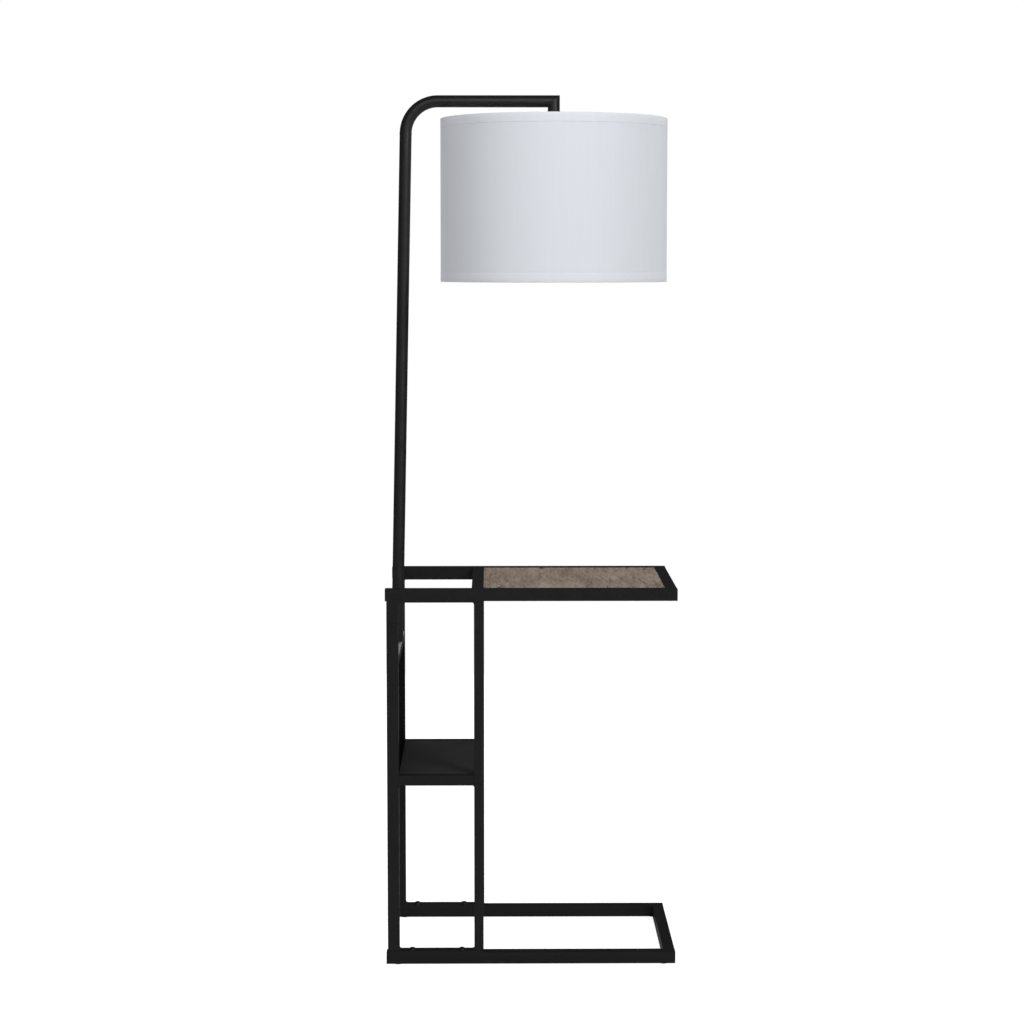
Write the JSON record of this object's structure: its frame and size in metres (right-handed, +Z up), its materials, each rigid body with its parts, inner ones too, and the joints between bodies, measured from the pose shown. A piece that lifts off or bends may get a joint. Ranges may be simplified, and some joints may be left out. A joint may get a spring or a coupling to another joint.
{
  "type": "floor lamp with table",
  "caption": "Floor lamp with a drum shade on a bent pole, rising from a black square-tube frame with a wooden side table and a shelf tower.",
  "frame": {"origin": "on the floor, under the middle of the frame's length and depth", "axes": "+Z up; +X along the table, from the pole's end towards the free end; -Y is the front, which the picture shows"},
  "size_m": [0.5, 0.396, 1.5],
  "materials": {
    "frame_black": "satin black powder coat",
    "black_plastic": "matt black plastic",
    "holder_black": "black moulded plastic with a soft gloss",
    "oak_board": "weathered grey-brown oak with fine streaks from front to back",
    "shelf_board": "black lacquer, satin",
    "bright_steel": "zinc-plated steel",
    "brass": "plain brass",
    "porcelain": "glazed white",
    "shade_linen": "light grey-white linen weave with vertical slubs, over a white liner",
    "hem_linen": "folded linen band",
    "opal_glass": "opal white"
  },
  "bodies": {
    "lamp": {"base_front_rail": "frame_black", "base_back_rail": "frame_black", "base_end_rail": "frame_black", "base_end_caps": "black_plastic", "base_glides": "black_plastic", "foot_plates": "frame_black", "base_bolts": "frame_black", "lower_left_front": "frame_black", "lower_left_back": "frame_black", "lower_mid_front": "frame_black", "lower_mid_back": "frame_black", "head_plates": "frame_black", "joint_screws": "frame_black", "shelf_front_rail": "frame_black", "shelf_back_rail": "frame_black", "shelf_left_rail": "frame_black", "shelf_mid_rail": "frame_black", "shelf_panel": "shelf_board", "side_panel": "frame_black", "pan_screws": "frame_black", "upper_left_front": "frame_black", "upper_left_back": "frame_black", "upper_mid_front": "frame_black", "upper_mid_back": "frame_black", "top_plates": "frame_black", "top_screws": "frame_black", "top_front_rail": "frame_black", "top_back_rail": "frame_black", "top_end_rail": "frame_black", "top_mid_rail": "frame_black", "board_ledges": "frame_black", "table_board": "oak_board", "board_screws": "bright_steel", "top_end_caps": "black_plastic", "pole_bar": "frame_black", "pole_foot": "frame_black", "pole_lower": "frame_black", "cord_grommet": "black_plastic", "pole_sleeve": "bright_steel", "pole_stay": "frame_black", "pole_upper": "frame_black", "arm_sleeve": "frame_black", "arm_tube": "frame_black", "arm_drop": "frame_black", "drop_plug": "frame_black", "lamp_nipple": "brass", "socket_cap": "holder_black", "socket_shell": "holder_black", "socket_insulator": "porcelain", "screw_shell": "brass", "switch_boss": "holder_black", "shade_fitter": "bright_steel", "shade_nut": "holder_black", "shade_ring": "bright_steel", "shade_fabric": "shade_linen", "hem_top": "hem_linen", "hem_bottom": "hem_linen", "bulb_cap": "bright_steel", "bulb_glass": "opal_glass"},
    "switch_key": {"switch_key": "holder_black"}
  },
  "joints": [
    {"name": "switch_turn", "type": "hinge", "parent": "lamp", "child": "switch_key", "pos_m": [0.066, 0, 1.3952], "axis": [1, 0, 0], "continuous": true}
  ]
}
